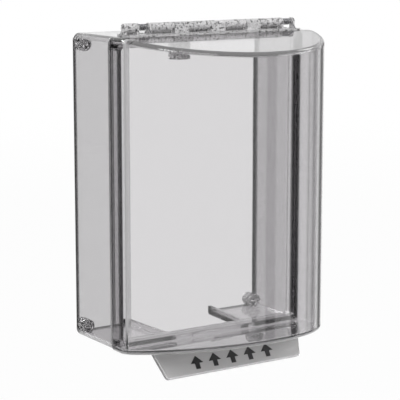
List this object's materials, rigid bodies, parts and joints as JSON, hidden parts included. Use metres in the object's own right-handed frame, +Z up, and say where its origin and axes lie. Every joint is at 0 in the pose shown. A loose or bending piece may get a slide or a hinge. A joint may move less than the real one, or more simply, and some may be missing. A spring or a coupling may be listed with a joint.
{
  "type": "top-hinged protective cover",
  "caption": "Clear polycarbonate guard for a wall device: open box frame on the wall and a deep bowed cover that lifts on a sprung top hinge by a pull tab.",
  "frame": {"origin": "centre of the four wall screw holes on the frame's back plane", "axes": "+X to the right seen from the front, +Y into the wall, +Z up"},
  "size_m": [0.15, 0.125, 0.2286],
  "materials": {
    "frame_clear": "clear polished polycarbonate",
    "cover_clear": "clear polished polycarbonate",
    "hinge_clear": "clear moulded polycarbonate",
    "pin_steel": "drawn stainless steel",
    "spring_steel": "dark spring wire",
    "label_silver": "satin silver polyester label"
  },
  "bodies": {
    "wall_frame": {"rear_frame": "frame_clear", "frame_hinge_leaf": "hinge_clear", "hinge_pin": "pin_steel", "torsion_spring_left": "spring_steel", "torsion_spring_right": "spring_steel"},
    "lift_cover": {"front_cover": "cover_clear", "cover_hinge_leaf": "hinge_clear", "tab_label": "label_silver"}
  },
  "joints": [
    {"name": "cover_hinge", "type": "hinge", "parent": "wall_frame", "child": "lift_cover", "pos_m": [0, -0.0525, 0.10775], "axis": [-1, 0, 0], "range_deg": [0, 110], "stiffness_Nm_per_rad": 0.06, "springref_deg": -20.05, "deforming": ["torsion_spring_left", "torsion_spring_right"]}
  ]
}
